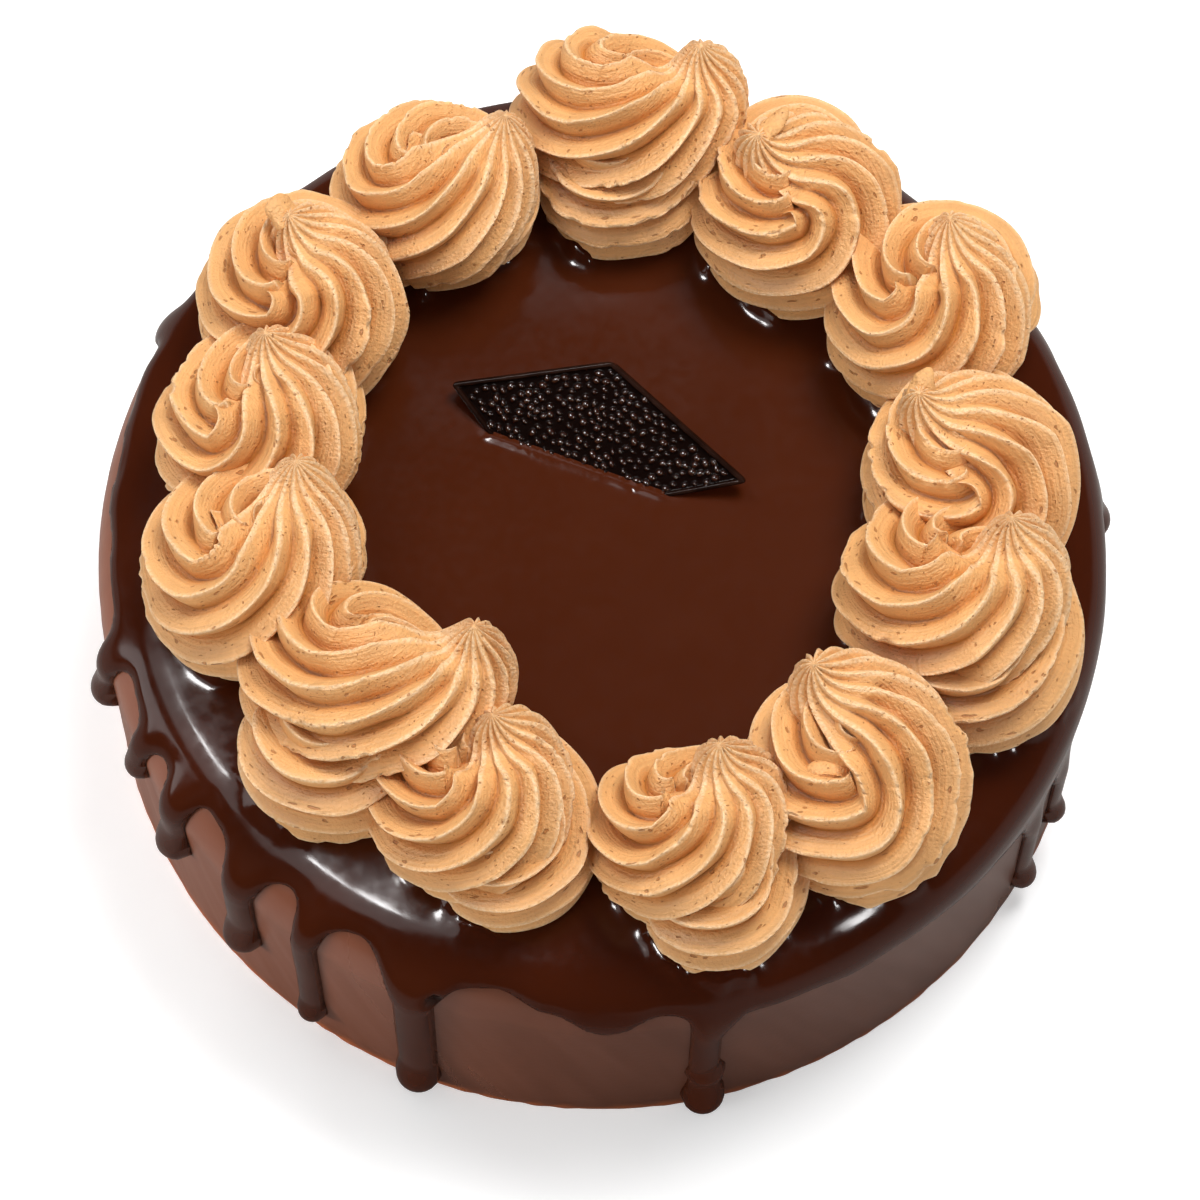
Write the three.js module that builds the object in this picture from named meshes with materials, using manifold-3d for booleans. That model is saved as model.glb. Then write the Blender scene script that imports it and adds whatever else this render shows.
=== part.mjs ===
// A round chocolate sponge cake. Dark glaze is poured over the top and drips down the side,
// a ring of thirteen piped cream swirls stands on the glaze, and a small chocolate plaque leans in it.
// Millimetres, +Z up, origin at the centre of the foot. The view that the swirls lean away from is -Y.
import * as THREE from 'three';
import { mergeVertices } from 'three/addons/utils/BufferGeometryUtils.js';
import Module from 'manifold-3d';

const wasm = await Module();
wasm.setup();

// Cake body
const cakeRadius = 109.5;
const cakeTop = 69;
const bodyEdge = 14.4;            // rounding of the top edge of the sponge
const bodySides = 56;

// Glaze
const gap = 0.35;                 // clear space between pieces that rest on each other
const glazeTop = 71;
const glazeEdge = 13;             // rounding that the inner face of the glaze follows
const glazeColumns = 66;
const capRows = [0, 0.22, 0.45, 0.7, 1];
const lipThickness = 1.3;         // how far the lower border of the glaze stands off the side
// Directions in degrees, with the length of glaze from the start of the rounding to its border
const borderMarks = [
  [-180, 11], [-155, 11], [-143, 8.5], [-118, 9], [-102, 10], [-95, 14], [-89, 21], [-83, 16], [-66, 20.5],
  [-56, 21], [-44, 24], [-32, 28], [-12, 24], [15, 19], [50, 16], [80, 20], [110, 16], [150, 13], [180, 11],
];
const dripFoot = 1.5;             // lowest end of the longest drips
const dripRoot = 5;               // how far above the border a drip begins
const funnelLength = 18;          // length in which a drip narrows to its run
const dripBack = 0.8;             // stand-off of the back of a drip, inside the thickness of the glaze
const backDrips = 7;

// Cream swirls
const swirlFloor = glazeTop + gap;
const ropeTeeth = 12;             // points of the star nozzle
const toothDepth = 0.34;          // groove depth as a share of the rope's radius
const ropeTwist = 0.3;            // turns of the star for each turn of the rope
const coilStart = 5;              // how much nearer the middle the rope begins
const coilEnd = 1;                // radius of the coil under the peak
const peakPower = 1.8;            // how late the peak climbs
const tipPower = 0.8;             // rounds the rope off towards its end
const ropeEnd = 0.985;            // share of the rope at its last section, which is blunt
const stationAngle = 44;          // degrees of winding between sections
const fineSteps = 12;             // steps between sections in which the roll of the rope is followed
const partSections = 4;           // sections in one length of rope before the next length is joined on
const sectionClearance = 0.9;
const roomSides = 12;             // sides of the plain rope that marks the room of a swirl
const roomGrow = 1.4;             // how far that rope stands outside the crests
const coreSides = 5;
const coreFoot = 9;               // half-width of the core at the glaze
const coreHead = 6;               // half-width of the core at its top

// Plaque
const plaqueFoot = new THREE.Vector3(-24.3, 20.3, glazeTop);
const plaqueTurn = -20;           // degrees, direction of the line where it enters the glaze
const plaqueTilt = 35;            // degrees from the level
const plaqueTips = [[18, -12.7], [56.7, 9.1], [20.6, 24.5], [-11.9, 8.4]];
const plaqueThick = 2.6;
const plaqueRim = 1.1;
const plaquePocket = 0.5;
const plaqueCorner = 1.6;

// Joined solids
const shortEdge = 0.05;           // edges below this are drawn together
const twinGap = 0.04;             // how far corners that meet at one point are drawn apart

const rad = THREE.MathUtils.degToRad;
const smooth = THREE.MathUtils.smoothstep;

// Solids

// Visits the three corners of each triangle.
const corners = (index, visit) => {
  for (let i = 0; i < index.length; i += 3) visit(index[i], index[i + 1], index[i + 2]);
};

// Keeps position alone, welds the vertices and gives the closed mesh to the boolean library.
function toSolid(geometry) {
  const bare = new THREE.BufferGeometry();
  bare.setAttribute('position', geometry.getAttribute('position').clone());
  if (geometry.index) bare.setIndex(geometry.index.clone());
  const welded = mergeVertices(bare, 1e-4);
  const kept = [];
  corners(welded.index.array, (a, b, c) => {
    if (a !== b && b !== c && c !== a) kept.push(a, b, c);
  });
  return new wasm.Manifold(new wasm.Mesh({
    numProp: 3,
    vertProperties: new Float32Array(welded.getAttribute('position').array),
    triVerts: new Uint32Array(kept),
  }));
}

// The first very short edge whose ends can be drawn together with the surface still closed and simple:
// its ends share only the two corners of the triangles on either side of it.
function edgeToDraw(points, triangles) {
  const near = new Map();
  const link = (a, b) => near.set(a, (near.get(a) ?? new Set()).add(b));
  triangles.forEach(([a, b, c]) => {
    [[a, b], [b, c], [c, a]].forEach(([from, to]) => {
      link(from, to);
      link(to, from);
    });
  });
  const shared = (a, b) => [...near.get(a)].filter((v) => near.get(b).has(v)).length;
  const edges = triangles.flatMap(([a, b, c]) => [[a, b], [b, c], [c, a]]);
  return edges.find(([a, b]) => points[a].distanceTo(points[b]) < shortEdge && shared(a, b) === 2);
}

function withoutShortEdges(points, index) {
  let triangles = [];
  corners(index, (...triangle) => triangles.push(triangle));
  let edge = edgeToDraw(points, triangles);
  while (edge) {
    const [from, to] = edge;
    triangles = triangles.map((triangle) => triangle.map((v) => (v === from ? to : v)));
    triangles = triangles.filter((triangle) => new Set(triangle).size === 3);
    edge = edgeToDraw(points, triangles);
  }
  return triangles.flat();
}

// Where two corners of a body meet at one point, each is drawn back into its own material.
function partTwins(geometry) {
  geometry.computeVertexNormals();
  const position = geometry.getAttribute('position');
  const normal = geometry.getAttribute('normal');
  const places = new Map();
  for (let v = 0; v < position.count; v += 1) {
    const place = new THREE.Vector3().fromBufferAttribute(position, v).divideScalar(shortEdge).round();
    const key = place.toArray().join(' ');
    places.set(key, [...(places.get(key) ?? []), v]);
  }
  [...places.values()].filter((twins) => twins.length > 1).flat().forEach((v) => {
    const moved = new THREE.Vector3().fromBufferAttribute(position, v);
    moved.addScaledVector(new THREE.Vector3().fromBufferAttribute(normal, v), -twinGap);
    position.setXYZ(v, moved.x, moved.y, moved.z);
  });
  geometry.deleteAttribute('normal');
  return geometry;
}

// The corners and the triangles of a solid.
function solidMesh(solid) {
  const { vertProperties, triVerts, numProp } = solid.getMesh();
  const points = Array.from({ length: vertProperties.length / numProp }, (_, v) => (
    new THREE.Vector3().fromArray(vertProperties, v * numProp)
  ));
  return { points, index: [...triVerts] };
}

// Turns a solid into the geometry of its largest body, without specks and very short edges.
function toGeometry(solid) {
  const whole = solidMesh(solid);
  const tidy = new THREE.BufferGeometry().setFromPoints(whole.points);
  tidy.setIndex(withoutShortEdges(whole.points, whole.index));
  const bodies = toSolid(partTwins(tidy)).decompose().sort((a, b) => b.volume() - a.volume());
  const largest = solidMesh(bodies[0]);
  const geometry = new THREE.BufferGeometry().setFromPoints(largest.points);
  geometry.setIndex(largest.index);
  return geometry;
}

// A closed skin over rings of points. Each ring has the same number of points, in the same order,
// and each end is closed by a fan to its own middle point.
function ringSkin(rings) {
  const count = rings[0].length;
  const points = rings.flat();
  const index = [];
  for (let i = 0; i + 1 < rings.length; i += 1) {
    for (let j = 0; j < count; j += 1) {
      const a = i * count + j;
      const b = i * count + ((j + 1) % count);
      index.push(a, b, b + count, a, b + count, a + count);
    }
  }
  [0, rings.length - 1].forEach((i) => {
    const middle = rings[i].reduce((sum, p) => sum.add(p), new THREE.Vector3()).divideScalar(count);
    const hub = points.push(middle) - 1;
    for (let j = 0; j < count; j += 1) {
      const a = i * count + j;
      const b = i * count + ((j + 1) % count);
      if (i === 0) index.push(hub, b, a);
      else index.push(hub, a, b);
    }
  });
  const geometry = new THREE.BufferGeometry().setFromPoints(points);
  geometry.setIndex(index);
  return geometry;
}

// Sponge body with a rounded top edge
function cakeBody() {
  const outline = new THREE.Path();
  outline.moveTo(0, 0);
  outline.lineTo(cakeRadius, 0);
  outline.lineTo(cakeRadius, cakeTop - bodyEdge);
  outline.absarc(cakeRadius - bodyEdge, cakeTop - bodyEdge, bodyEdge, 0, Math.PI / 2);
  outline.lineTo(0, cakeTop);
  const geometry = new THREE.LatheGeometry(outline.getPoints(2), bodySides);
  geometry.rotateX(Math.PI / 2);
  return toGeometry(toSolid(geometry));
}

// Glaze

// A point on the glazed face: along is measured from the start of the rounding, over the edge and down,
// and off is the distance from the face.
function facePoint(angle, along, off) {
  const bend = Math.min(Math.max(along / glazeEdge, 0), Math.PI / 2);
  const past = Math.max(along - (glazeEdge * Math.PI) / 2, 0);
  const out = cakeRadius - glazeEdge + (glazeEdge + off) * Math.sin(bend);
  const up = cakeTop - glazeEdge + (glazeEdge + off) * Math.cos(bend) - past;
  return new THREE.Vector3(out * Math.cos(angle), out * Math.sin(angle), up);
}

// Length of glaze down to its border, eased from one mark to the next.
function borderAt(angle) {
  const at = THREE.MathUtils.euclideanModulo(THREE.MathUtils.radToDeg(angle) + 180, 360) - 180;
  const next = borderMarks.findIndex(([mark]) => mark > at);
  const [from, start] = borderMarks[next - 1];
  const [to, stop] = borderMarks[next];
  return start + (stop - start) * smooth(at, from, to);
}

// The poured cap: out over the top along its upper face, then back along its inner face.
function glazeCap() {
  const topThickness = glazeTop - cakeTop;
  const ring = (share, off) => Array.from({ length: glazeColumns }, (_, k) => {
    const angle = (2 * Math.PI * k) / glazeColumns;
    return facePoint(angle, share * borderAt(angle), off);
  });
  const upper = capRows.map((share) => {
    const thinning = (lipThickness - topThickness) * share ** 3;
    return ring(share, topThickness + thinning);
  });
  const inner = capRows.map((share) => ring(share, gap)).reverse();
  return ringSkin([...upper, ...inner].reverse());
}

// One drip: a half-round strip that leaves the cap in a funnel, runs down and ends in a bulb. The left and
// the right side of the funnel flare by their own shares of the half-width.
function glazeDrip({ at, low, half, bulb, left, right }) {
  const tip = (glazeEdge * Math.PI) / 2 + cakeTop - glazeEdge - low;
  const root = borderAt(rad(at)) - dripRoot;
  const funnel = Math.min(funnelLength, 0.85 * (tip - 2 * bulb - root));
  const stations = [
    { along: root, wide: half, flare: 1, thick: 0.9 },
    { along: root + 0.35 * funnel, wide: half, flare: 0.75, thick: 1.7 },
    { along: root + 0.65 * funnel, wide: half, flare: 0.3, thick: 0.6 * half },
    { along: root + funnel, wide: 0.95 * half, flare: 0, thick: 0.7 * half },
    { along: tip - 1.9 * bulb, wide: 0.92 * half, flare: 0, thick: 0.7 * half },
    { along: tip - bulb, wide: bulb, flare: 0, thick: 0.8 * bulb },
    { along: tip - 0.35 * bulb, wide: 0.8 * bulb, flare: 0, thick: 0.6 * bulb },
    { along: tip, wide: 0.3 * bulb, flare: 0, thick: 0.25 * bulb },
  ];
  const arcSteps = 4;
  const rings = stations.map(({ along, wide, flare, thick }) => {
    const across = (x, off) => facePoint(rad(at) + x / cakeRadius, along, dripBack + off);
    const front = Array.from({ length: arcSteps + 1 }, (_, k) => {
      const turn = (Math.PI * k) / arcSteps;
      const side = 2 * k < arcSteps ? right : left;
      return across(wide * (1 + flare * side) * Math.cos(turn), thick * Math.sin(turn));
    });
    return [...front, across(0, 0)].reverse();
  });
  return ringSkin(rings);
}

// The drips that face the front, then a run of drips round the back by rule.
function dripPlaces() {
  const front = [
    { at: -77.5, low: dripFoot, half: 4.4, bulb: 5, left: 0.1, right: 1.6 },
    { at: -110.5, low: dripFoot, half: 5, bulb: 5.2, left: 1.5, right: 1.3 },
    { at: -124.2, low: 9.5, half: 3.4, bulb: 3.6, left: 0.3, right: 0.8 },
    { at: -133.8, low: 25, half: 4.3, bulb: 4.8, left: 1, right: 0.7 },
    { at: -145.5, low: 37, half: 4.2, bulb: 4.8, left: 0.8, right: 0.3 },
    { at: -153.8, low: 47, half: 3.2, bulb: 3.7, left: 0.4, right: 0.6 },
    { at: -165, low: 40, half: 3.6, bulb: 4.5, left: 0.7, right: 0.5 },
    { at: -24, low: 15, half: 3, bulb: 3.6, left: 0.8, right: 0.8 },
    { at: -31, low: 6, half: 3.2, bulb: 3.8, left: 0.8, right: 0.8 },
  ];
  const back = Array.from({ length: backDrips }, (_, k) => ({
    at: 8 + 25 * k + 6 * Math.sin(5 * k),
    low: 24 + 15 * Math.sin(2.3 * k + 1),
    half: 3.5 + 0.9 * Math.sin(3.1 * k),
    bulb: 4.1 + 0.9 * Math.sin(3.1 * k + 0.4),
    left: 0.9,
    right: 0.9,
  }));
  return [...front, ...back];
}

function glaze() {
  const drips = dripPlaces().map((place) => toSolid(glazeDrip(place)));
  return toGeometry(drips.reduce((body, drip) => body.add(drip), toSolid(glazeCap())));
}

// Cream swirls

// Rope that winds once and a little more, rising into a pleated peak.
const singleCoil = {
  turns: 1.15, coil: 6.5, wide: 1, rope: 17, lift: 12.5, rise: 4,
  peak: 17, peakFrom: 0.5, tipFrom: 0.66, drawFrom: 0.55, leanFrom: 0.45,
};
// Rope whose first turn shows as a lower layer.
const doubleCoil = {
  turns: 1.5, coil: 7.5, wide: 1, rope: 16, lift: 9, rise: 9,
  peak: 17, peakFrom: 0.62, tipFrom: 0.72, drawFrom: 0.65, leanFrom: 0.3,
};

// x and y place each swirl, size scales it, end is the direction in which the rope stops,
// leanX and leanY are how far its peak stands from its middle, and wide stretches the coil along x.
const swirls = [
  { ...doubleCoil, x: 0, y: 86, size: 1.09, end: 45, leanX: 19, leanY: 10, wide: 1.2 },
  { ...singleCoil, x: 44, y: 71, size: 1.08, end: 120, leanX: -10.5, leanY: 4.5 },
  { ...singleCoil, x: 73, y: 44.5, size: 1.09, end: 65, leanX: 0.5, leanY: 10.5 },
  { ...singleCoil, x: 80.5, y: 6.5, size: 1.09, end: 125, leanX: -12.5, leanY: 8 },
  { ...doubleCoil, x: 74, y: -28, size: 1.17, end: 45, leanX: 9.5, leanY: 11.5, wide: 1.15 },
  { ...singleCoil, x: 56, y: -62.5, size: 1.12, end: 120, leanX: -10.5, leanY: 14.5 },
  { ...doubleCoil, x: 20.5, y: -80.5, size: 1.03, end: 70, leanX: 4, leanY: 16 },
  { ...doubleCoil, x: -23.5, y: -72.5, size: 1.06, end: 78, leanX: 1.5, leanY: 13.5 },
  { ...doubleCoil, x: -56, y: -48.5, size: 1.16, end: 30, leanX: 26, leanY: 7, wide: 1.3 },
  { ...singleCoil, x: -72, y: -18, size: 1.11, end: 60, leanX: 7.5, leanY: 13.5 },
  { ...singleCoil, x: -71, y: 14.5, size: 1.07, end: 75, leanX: 0, leanY: 12.5 },
  { ...singleCoil, x: -63, y: 45.5, size: 1.08, end: 95, leanX: -3.5, leanY: 9.5 },
  { ...singleCoil, x: -36.5, y: 70.5, size: 1.01, end: 35, leanX: 14.5, leanY: 10.5 },
];

// Winding of the rope at a share of its length, from its start on the glaze to its peak.
function windAngle(swirl, share) {
  return rad(swirl.end) - 2 * Math.PI * swirl.turns * (1 - share);
}

// Middle of the rope: a coil that closes towards its end, while it climbs and leans out to the peak.
function ropeMiddle(swirl, share) {
  const angle = windAngle(swirl, share);
  const drawn = (coilEnd - swirl.coil) * smooth(share, swirl.drawFrom, 1);
  const coil = swirl.coil + drawn - coilStart * (1 - smooth(share, 0, 0.14));
  const climb = Math.max((share - swirl.peakFrom) / (1 - swirl.peakFrom), 0) ** peakPower;
  const height = swirl.lift + swirl.rise * smooth(share, 0.2, 0.8) + swirl.peak * climb;
  const lean = smooth(share, swirl.leanFrom, 1);
  const leanX = swirl.leanX - swirl.wide * coilEnd * Math.cos(rad(swirl.end));
  const leanY = swirl.leanY - coilEnd * Math.sin(rad(swirl.end));
  return new THREE.Vector3(
    swirl.x + swirl.size * (swirl.wide * coil * Math.cos(angle) + lean * leanX),
    swirl.y + swirl.size * (coil * Math.sin(angle) + lean * leanY),
    glazeTop + swirl.size * height,
  );
}

// Radius of the rope: rounded where it starts, drawn out to nothing at the peak.
function ropeRadius(swirl, share) {
  const start = Math.min(share / 0.12, 1);
  const tip = Math.max((share - swirl.tipFrom) / (1 - swirl.tipFrom), 0);
  const swell = 0.45 + 0.55 * Math.sqrt(start * (2 - start));
  return swirl.size * swirl.rope * swell * (1 - tip) ** tipPower;
}

// Place, heading and side directions of each section. The roll that the side directions pick up where
// the rope climbs is followed in fine steps, so that the pleats can run straight up to the peak.
function ropeFrames(swirl) {
  const last = Math.round((360 * swirl.turns) / stationAngle) * fineSteps;
  const fine = Array.from({ length: last + 1 }, (_, i) => {
    const share = Math.min(i / last, ropeEnd);
    const ahead = ropeMiddle(swirl, share + 0.004).sub(ropeMiddle(swirl, share - 0.004)).normalize();
    const angle = windAngle(swirl, share);
    const out = new THREE.Vector3(Math.cos(angle), Math.sin(angle), 0);
    out.addScaledVector(ahead, -out.dot(ahead)).normalize();
    const middle = ropeMiddle(swirl, share);
    return { share, angle, middle, ahead, out, up: out.clone().cross(ahead), roll: 0 };
  });
  for (let i = 1; i <= last; i += 1) {
    fine[i].roll = fine[i - 1].roll + fine[i].out.clone().sub(fine[i - 1].out).dot(fine[i].up);
  }
  const evenRoll = fine[Math.round(last / 2)].roll;
  fine.forEach((frame) => { frame.roll -= evenRoll; });
  return fine.filter((_, i) => i % fineSteps === 0);
}

// Star sections square to the rope. A corner that would pass the plane of the section before or after
// it is drawn in towards the middle of the rope, so that the inside of the bend doesn't fold.
function ropeSections(swirl, { points, depth, grow }) {
  const frames = ropeFrames(swirl);
  return frames.map(({ share, angle, middle, out, up, roll }, i) => {
    const radius = ropeRadius(swirl, share) + grow;
    const neighbours = [[frames[i + 1], -1], [frames[i - 1], 1]].filter(([other]) => other);
    return Array.from({ length: points }, (_, j) => {
      const star = j % 2 ? 1 - depth : 1;
      const turn = ropeTwist * (angle - rad(swirl.end)) - roll - (2 * Math.PI * j) / points;
      const arm = out.clone().multiplyScalar(radius * star * Math.cos(turn));
      arm.addScaledVector(up, radius * star * Math.sin(turn));
      const reach = neighbours.map(([other, side]) => {
        const room = side * middle.clone().sub(other.middle).dot(other.ahead) - sectionClearance;
        const nearing = -side * arm.dot(other.ahead);
        return nearing > room ? Math.max(room / nearing, 0.05) : 1;
      });
      return middle.clone().addScaledVector(arm, Math.min(...reach));
    });
  });
}

// A plain upright core fills the eye of the coil below its cup.
function swirlCore(swirl, grow) {
  const level = (lean, width, height) => Array.from({ length: coreSides }, (_, k) => {
    const angle = (2 * Math.PI * k) / coreSides;
    const reach = width * swirl.size + grow;
    return new THREE.Vector3(
      swirl.x + lean * swirl.leanX + reach * Math.cos(angle),
      swirl.y + lean * swirl.leanY + reach * Math.sin(angle),
      glazeTop + swirl.size * height + grow,
    );
  });
  const coreTop = swirl.lift + 0.5 * swirl.rise;
  return ringSkin([level(0, coreFoot, -3), level(0.26, coreHead, coreTop)]);
}

// Lengths of rope joined to the core, with everything below the glaze cut away.
const swirlRoom = new THREE.BoxGeometry(3 * cakeRadius, 3 * cakeRadius, 100);
swirlRoom.translate(0, 0, swirlFloor + 50);
const aboveGlaze = toSolid(swirlRoom);

function swirlSolid(swirl, section) {
  const sections = ropeSections(swirl, section);
  let body = toSolid(swirlCore(swirl, section.grow));
  for (let from = 0; from + 1 < sections.length; from += partSections) {
    body = body.add(toSolid(ringSkin(sections.slice(from, from + partSections + 1))));
  }
  return body.intersect(aboveGlaze);
}

// Each swirl keeps clear of the one piped before it, and the last one also of the first. The room that
// a swirl takes up is its rope without the grooves.
function swirlGeometries() {
  const star = { points: 2 * ropeTeeth, depth: toothDepth, grow: 0 };
  const room = { points: roomSides, depth: 0, grow: roomGrow };
  const rooms = swirls.map((swirl) => swirlSolid(swirl, room));
  return swirls.map((swirl, i) => {
    let body = swirlSolid(swirl, star);
    if (i > 0) body = body.subtract(rooms[i - 1]);
    if (i === swirls.length - 1) body = body.subtract(rooms[0]);
    return toGeometry(body);
  });
}

// Plaque

// Rhombic outline with softened corners, drawn in the plane of the plaque: x runs along the line where
// it enters the glaze and y runs up its slope.
function plaqueOutline(inset) {
  const tips = plaqueTips.map(([x, y]) => new THREE.Vector2(x, y));
  const middle = tips.reduce((sum, tip) => sum.add(tip), new THREE.Vector2()).divideScalar(tips.length);
  const drawn = tips.map((corner) => {
    const inward = middle.clone().sub(corner);
    return corner.clone().addScaledVector(inward.normalize(), inset);
  });
  const shape = new THREE.Shape();
  drawn.forEach((corner, k) => {
    const before = drawn[(k + 3) % 4].clone().sub(corner).setLength(plaqueCorner).add(corner);
    const after = drawn[(k + 1) % 4].clone().sub(corner).setLength(plaqueCorner).add(corner);
    if (k === 0) shape.moveTo(before.x, before.y);
    else shape.lineTo(before.x, before.y);
    shape.quadraticCurveTo(corner.x, corner.y, after.x, after.y);
  });
  return shape;
}

function plaque() {
  const slab = (inset, from, thick) => {
    const geometry = new THREE.ExtrudeGeometry(plaqueOutline(inset), {
      depth: thick, bevelEnabled: false, curveSegments: 2,
    });
    geometry.translate(0, 0, from);
    geometry.rotateX(rad(plaqueTilt));
    geometry.rotateZ(rad(plaqueTurn));
    geometry.translate(plaqueFoot.x, plaqueFoot.y, plaqueFoot.z);
    return toSolid(geometry);
  };
  const plate = slab(0, -plaqueThick, plaqueThick);
  const pocket = slab(2 * plaqueRim, -plaquePocket, 2 * plaquePocket);
  return toGeometry(plate.subtract(pocket).intersect(aboveGlaze));
}

// Scene graph
const icing = new THREE.MeshStandardMaterial({ color: '#60402f', roughness: 0.5, metalness: 0 });
const darkGlaze = new THREE.MeshStandardMaterial({ color: '#3c1a10', roughness: 0.15, metalness: 0 });
const cream = new THREE.MeshStandardMaterial({ color: '#d59a67', roughness: 0.6, metalness: 0 });
const darkChocolate = new THREE.MeshStandardMaterial({ color: '#180c08', roughness: 0.3, metalness: 0 });

const cake = new THREE.Group();
function addPiece(name, geometry, material) {
  const mesh = new THREE.Mesh(geometry, material);
  mesh.name = name;
  cake.add(mesh);
}
addPiece('cake_body', cakeBody(), icing);
addPiece('chocolate_glaze', glaze(), darkGlaze);
addPiece('chocolate_plaque', plaque(), darkChocolate);
swirlGeometries().forEach((geometry, i) => {
  addPiece(`cream_swirl_${String(i + 1).padStart(2, '0')}`, geometry, cream);
});

export default cake;
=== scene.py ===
# Dresses the chocolate cake: piped cream, glaze with drips, side icing and a pebbled plaque.
# Lengths are worked out in millimetres, and put into the meshes in metres.
import math
import bpy
import numpy as np
from mathutils import Matrix, Vector


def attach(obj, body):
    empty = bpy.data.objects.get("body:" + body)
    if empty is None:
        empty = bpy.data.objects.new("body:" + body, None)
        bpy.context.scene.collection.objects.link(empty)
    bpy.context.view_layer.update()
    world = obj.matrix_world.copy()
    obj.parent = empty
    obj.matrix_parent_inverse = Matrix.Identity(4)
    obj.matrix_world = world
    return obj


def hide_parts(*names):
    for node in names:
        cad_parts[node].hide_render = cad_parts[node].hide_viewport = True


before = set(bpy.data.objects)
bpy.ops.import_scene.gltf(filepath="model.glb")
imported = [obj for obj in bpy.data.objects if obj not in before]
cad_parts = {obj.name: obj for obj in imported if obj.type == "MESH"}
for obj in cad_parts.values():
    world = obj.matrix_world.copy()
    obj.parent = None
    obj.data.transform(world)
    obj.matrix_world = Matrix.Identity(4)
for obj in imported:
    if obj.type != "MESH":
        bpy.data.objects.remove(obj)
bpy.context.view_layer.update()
scene = bpy.context.scene

cake = dict(
    radius=109.5, top=69.0, glazeTop=71.0,
    glazeEdge=13.0, overhang=1.5,  # rounding that the glaze follows, and how far past it cream may hang
    droop=0.9, droopFrom=-13.0, droopLength=16.0,  # how far the glaze sinks there, and where it starts to
    bodyEdge=14.4,  # rounding of the sponge under it
)
perMetre = 1000
tiny = 1e-6


# Shared helpers

def unit(x):
    return np.clip(x, 0, 1)


def ease(x, low, high):
    t = unit((x - low) / (high - low))
    return t * t * (3 - 2 * t)


# Fields put side by side as places.
def joined(*fields):
    return np.stack(np.broadcast_arrays(*fields), -1)


# Random numbers on a wrapped lattice, blended between the eight corners round a point: -1 to 1.
def noiseAt(points, size, seed, more=0):
    count = 32
    values = np.random.default_rng(seed + more).uniform(-1, 1, (count,) * 3).astype(np.float32)
    place = points / size
    corner = np.floor(place).astype(np.int64)
    t = place - corner
    t = t * t * (3 - 2 * t)
    total = np.zeros(points.shape[:-1])
    for step in np.ndindex(2, 2, 2):
        weight = np.prod(np.where(np.array(step) == 1, t, 1 - t), axis=-1)
        i, j, k = np.moveaxis((corner + step) % count, -1, 0)
        total += weight * values[i, j, k]
    return total


# Noise in three directions.
def drift(points, size, seed):
    return np.stack([noiseAt(points, size, seed, k) for k in range(3)], -1)


# Larger of two fields, rounded where they are nearly equal.
def softMax(a, b, width):
    near = np.maximum(width - np.abs(a - b), 0) / width
    return np.maximum(a, b) + near * near * width / 4


def lengths(vectors):
    return np.linalg.norm(vectors, axis=1, keepdims=True)


# Turn from a direction in degrees, at most half a turn either way.
def turnFrom(angle, degrees):
    return (angle - math.radians(degrees) + math.pi) % (2 * math.pi) - math.pi


def gridQuads(rows, columns, closed=True):
    i = np.arange(rows - 1)[:, None]
    j = np.arange(columns if closed else columns - 1)[None, :]
    nextColumn = (j + 1) % columns
    corners = [i * columns + j, i * columns + nextColumn,
        (i + 1) * columns + nextColumn, (i + 1) * columns + j]
    return np.stack(corners, -1).reshape(-1, 4)


# Fan of triangles from one point to a closed ring of points.
def ringFan(ring, middle, turned=False):
    after = np.roll(ring, -1)
    centre = np.full_like(ring, middle)
    sides = (after, ring) if turned else (ring, after)
    return np.stack([*sides, centre], -1)


# Faces of a tube in rows, and the fans that close it, to the two points after its own.
def tubeFaces(rows, columns, turned=False):
    quads = gridQuads(rows, columns)
    ends = rows * columns
    first = np.arange(columns)
    return [quads[:, ::-1] if turned else quads, ringFan(first, ends, not turned),
            ringFan(first + ends - columns, ends + 1, turned)]


def meshFrom(name, points, *faceSets):
    mesh = bpy.data.meshes.new(name)
    mesh.vertices.add(len(points))
    mesh.vertices.foreach_set("co", (points / perMetre).astype(np.float32).ravel())
    loops = np.concatenate([faces.ravel() for faces in faceSets]).astype(np.int32)
    sizes = np.concatenate([np.full(len(faces), faces.shape[1]) for faces in faceSets])
    mesh.loops.add(len(loops))
    mesh.loops.foreach_set("vertex_index", loops)
    mesh.polygons.add(len(sizes))
    starts = np.concatenate([[0], np.cumsum(sizes)[:-1]]).astype(np.int32)
    mesh.polygons.foreach_set("loop_start", starts)
    mesh.update(calc_edges=True)
    mesh.validate()
    mesh.shade_smooth()
    return mesh


# Values at the points of a mesh: one number or three numbers each.
def setAttribute(mesh, name, values):
    kind, field = ("FLOAT_VECTOR", "vector") if values.ndim == 2 else ("FLOAT", "value")
    layer = mesh.attributes.new(name, kind, "POINT")
    layer.data.foreach_set(field, values.astype(np.float32).ravel())


def addObject(name, data):
    made = bpy.data.objects.new(name, data)
    scene.collection.objects.link(made)
    return made


def addPiece(name, mesh, node, material):
    piece = addObject(name, mesh)
    mesh.materials.append(material)
    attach(piece, "root")
    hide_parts(node)
    print(name, len(mesh.vertices), "points")


# Materials

def newMaterial(name):
    material = bpy.data.materials.new(name)
    material.use_nodes = True
    tree = material.node_tree
    return material, tree, tree.nodes["Principled BSDF"]


# Another node's output is linked, anything else is a plain value. Colours are opaque.
def setInputs(tree, node, values):
    for key, value in values.items():
        socket = node.inputs[key]
        if isinstance(value, bpy.types.NodeSocket):
            tree.links.new(value, socket)
        else:
            socket.default_value = (*value, 1) if socket.type == "RGBA" else value


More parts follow.
